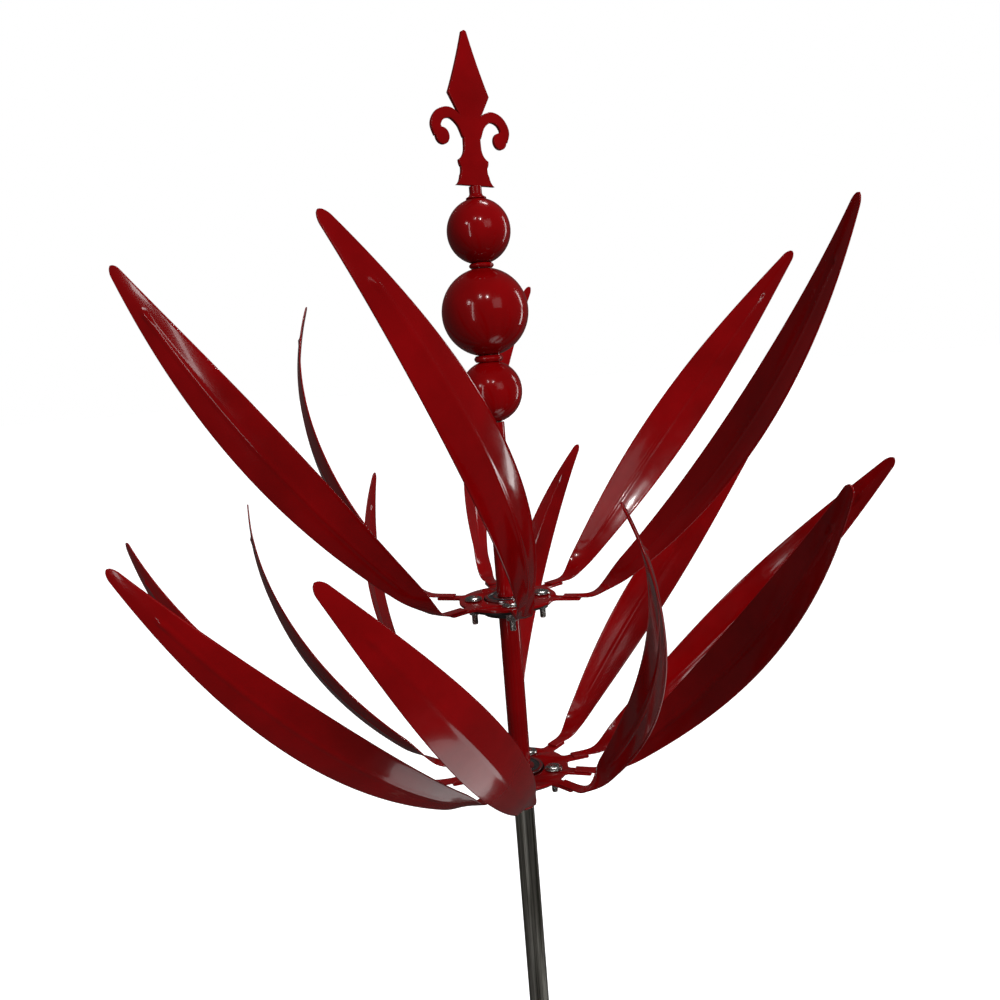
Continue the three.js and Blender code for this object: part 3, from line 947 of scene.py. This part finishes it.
def finial():
    spear = spear_plate()
    extras = []
    for side in (-1, 1):
        extras.append(scroll_plate(side))
        blob = ring_outline(SCROLL_END_RADIUS, 48, (SCROLL_END[0] * side, SCROLL_END[1]))
        extras.append(plate(f"scroll_end_{side}", [blob], FINIAL_THICKNESS, FINIAL_BEVEL))
    join(spear, extras)
    low, _ = cad_heights("finial_spear")
    upright = Matrix.Rotation(math.pi / 2, 4, "X")
    centred = Matrix.Translation((0, 0, -FINIAL_THICKNESS / 2 * MM))
    raised = Matrix.Translation((0, 0, low * MM))
    spear.data.transform(raised @ Matrix.Rotation(FINIAL_TURN, 4, "Z") @ upright @ centred)
    smooth_edges(spear)
    place(spear, "finial_spear", "red_enamel")
    finial_stem()


def spear_plate():
    right = curve_points(SPEAR_FOOT, 8, *SPEAR_FOOT_CURVES)
    right += curve_points(SPEAR_SHOULDER, 12, SPEAR_POINT_CURVE)
    right.append(np.array(SPEAR_POINT, float))
    left = [np.array([-x, y]) for x, y in right[-2::-1]]
    return plate("finial_spear_form", [[*right, *left]], FINIAL_THICKNESS, FINIAL_BEVEL)


def scroll_plate(side):
    line = spline(np.array([(x * side, y) for x, y in SCROLL_LINE], float), 40)
    tangent = np.gradient(line, axis=0)
    tangent /= np.linalg.norm(tangent, axis=1)[:, None]
    half = np.linspace(SCROLL_ROOT_WIDTH, SCROLL_TIP_WIDTH, len(line))[:, None] / 2
    offset = np.stack([-tangent[:, 1], tangent[:, 0]], -1) * half
    outline = [*(line + offset), *(line - offset)[::-1]]
    return plate(f"scroll_{side}", [outline], FINIAL_THICKNESS, FINIAL_BEVEL)


def join(whole, extras):
    """Adds the extras to the whole as one closed body, and removes them."""
    for extra in extras:
        smooth_edges(extra)
        joiner = whole.modifiers.new("join", "BOOLEAN")
        joiner.operation = "UNION"
        joiner.object = extra
        joiner.solver = "EXACT"
    smooth_edges(whole)
    bpy.context.view_layer.update()
    evaluated = whole.evaluated_get(bpy.context.evaluated_depsgraph_get())
    joined = bpy.data.meshes.new_from_object(evaluated)
    whole.modifiers.clear()
    whole.data = joined
    for extra in extras:
        bpy.data.objects.remove(extra)


def finial_stem():
    low, high = cad_heights("finial_stem")
    foot = cad_radius("finial_stem")
    rim = ball_surface("high", 1, foot) + GAP
    profile = [[0, low], [SPINDLE_RADIUS, low], [foot, rim], [foot, rim + STEM_RIM_HEIGHT]]
    profile += [[STEM_RADIUS + wider, rim + above] for wider, above in STEM_FLARE]
    profile += [[STEM_RADIUS, high], [0, high]]
    place(lathe("finial_stem_form", profile, closed=False), "finial_stem", "red_enamel")


def spline(knots, steps):
    """A smooth line through the knots."""
    ends = np.vstack([2 * knots[0] - knots[1], knots, 2 * knots[-1] - knots[-2]])
    points = []
    for index in range(1, len(ends) - 2):
        a, b, c, d = ends[index - 1:index + 3]
        for t in np.linspace(0, 1, steps // (len(knots) - 1), endpoint=False):
            points.append(0.5 * (2 * b + (c - a) * t + (2 * a - 5 * b + 4 * c - d) * t**2
                                 + (3 * b - a - 3 * c + d) * t**3))
    points.append(knots[-1])
    return np.array(points)


def rounded_bar(half_width, half_depth):
    outline = []
    for right, back, start in ((1, 1, 0), (-1, 1, 90), (-1, -1, 180), (1, -1, 270)):
        for step in range(BAR_CORNER_STEPS + 1):
            angle = math.radians(start + 90 * step / BAR_CORNER_STEPS)
            outline.append((right * (half_width - BAR_CORNER) + BAR_CORNER * math.cos(angle),
                            back * (half_depth - BAR_CORNER) + BAR_CORNER * math.sin(angle)))
    return outline


def fork():
    prongs = {}
    for node in ("prong_left", "prong_right", "centre_spike"):
        near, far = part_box(node)
        prongs[node] = (near.x + far.x) / 2 / MM
    _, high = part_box("step_bar")
    outline = rounded_bar(high.x / MM, high.y / MM)
    holes = [ring_outline(cad_radius(node) + GAP, 48, (x, 0)) for node, x in prongs.items()]
    bar = plate("step_bar_form", [outline, *holes], high.z / MM, BAR_BEVEL)
    smooth_edges(bar)
    place(bar, "step_bar", "bare_steel")
    for node, x in prongs.items():
        bottom, top = cad_heights(node)
        radius = cad_radius(node)
        profile = [[0, bottom], [radius, bottom + PRONG_POINT_LENGTH], [radius, top], [0, top]]
        prong = lathe(f"{node}_form", profile, closed=False, sides=64, ease=0.8, centre=(x, 0, 0))
        place(prong, node, "bare_steel")


# ---------------------------------------------------------------- scene


def floors():
    """A wide floor that only the camera sees, and a small disc of it that reflections show."""
    low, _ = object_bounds()
    pale = pale_floor()
    for name, centre, reach, lift, in_reflections in FLOORS:
        ring = [(x, y, low.z + lift) for x, y in ring_outline(reach, FLOOR_SIDES, centre)]
        mesh = bpy.data.meshes.new(name)
        mesh.from_pydata(ring, [], [tuple(range(FLOOR_SIDES))])
        mesh.materials.append(pale)
        floor = link_object(name, mesh)
        floor.visible_glossy = in_reflections
        floor.visible_diffuse = in_reflections


def surroundings():
    """White behind the object, and a dim room for the light and the reflections on it."""
    world = bpy.data.worlds.new("studio")
    world.use_nodes = True
    bpy.context.scene.world = world
    tree = world.node_tree
    white = tree.nodes["Background"]
    white.inputs["Color"].default_value = (1, 1, 1, 1)
    white.inputs["Strength"].default_value = 1.0
    dim = tree.nodes.new("ShaderNodeBackground")
    dim.inputs["Color"].default_value = (1, 0.98, 0.97, 1)
    dim.inputs["Strength"].default_value = 0.05
    path = tree.nodes.new("ShaderNodeLightPath")
    mix = tree.nodes.new("ShaderNodeMixShader")
    tree.links.new(path.outputs["Is Camera Ray"], mix.inputs["Fac"])
    tree.links.new(dim.outputs[0], mix.inputs[1])
    tree.links.new(white.outputs[0], mix.inputs[2])
    tree.links.new(mix.outputs[0], tree.nodes["World Output"].inputs["Surface"])


def facing(aim):
    return Vector(aim).to_track_quat("-Z", "Y").to_euler()


def lights():
    for name, aim, strength in SUNS:
        sun = bpy.data.lights.new(name, "SUN")
        sun.energy = strength
        sun.angle = SUN_ANGLE
        light = link_object(name, sun)
        light.rotation_euler = facing(aim)
        light.visible_glossy = False
    for name, place_at, size, watts in LAMPS:
        lamp = bpy.data.lights.new(name, "AREA")
        lamp.shape = "RECTANGLE"
        lamp.size, lamp.size_y = size
        lamp.energy = watts
        light = link_object(name, lamp)
        light.location = place_at
        light.rotation_euler = facing(LAMP_AIM - Vector(place_at))


def camera():
    data = bpy.data.cameras.new("camera")
    data.lens = CAMERA_LENS
    data.sensor_width = CAMERA_SENSOR
    data.shift_x, data.shift_y = CAMERA_SHIFT
    data.clip_start = 0.01
    data.clip_end = 200
    viewer = link_object("camera", data)
    yaw, pitch, roll = map(math.radians, (CAMERA_YAW, CAMERA_PITCH, CAMERA_ROLL))
    forward = Vector((math.sin(yaw) * math.cos(pitch), math.cos(yaw) * math.cos(pitch),
                      -math.sin(pitch)))
    level = Vector((math.cos(yaw), -math.sin(yaw), 0))
    upright = level.cross(forward)
    right = level * math.cos(roll) + upright * math.sin(roll)
    up = upright * math.cos(roll) - level * math.sin(roll)
    turned = Matrix((right, up, -forward)).transposed().to_4x4()
    stand = (0, -CAMERA_BACK, HUB_Z["lower"] * MM + CAMERA_ABOVE_HUB)
    viewer.matrix_world = Matrix.Translation(stand) @ turned
    bpy.context.scene.camera = viewer
    bpy.context.scene.view_settings.view_transform = "Standard"


fork()
mast()
balls()
finial()
hub("upper")
hub("lower")
floors()
surroundings()
lights()
camera()
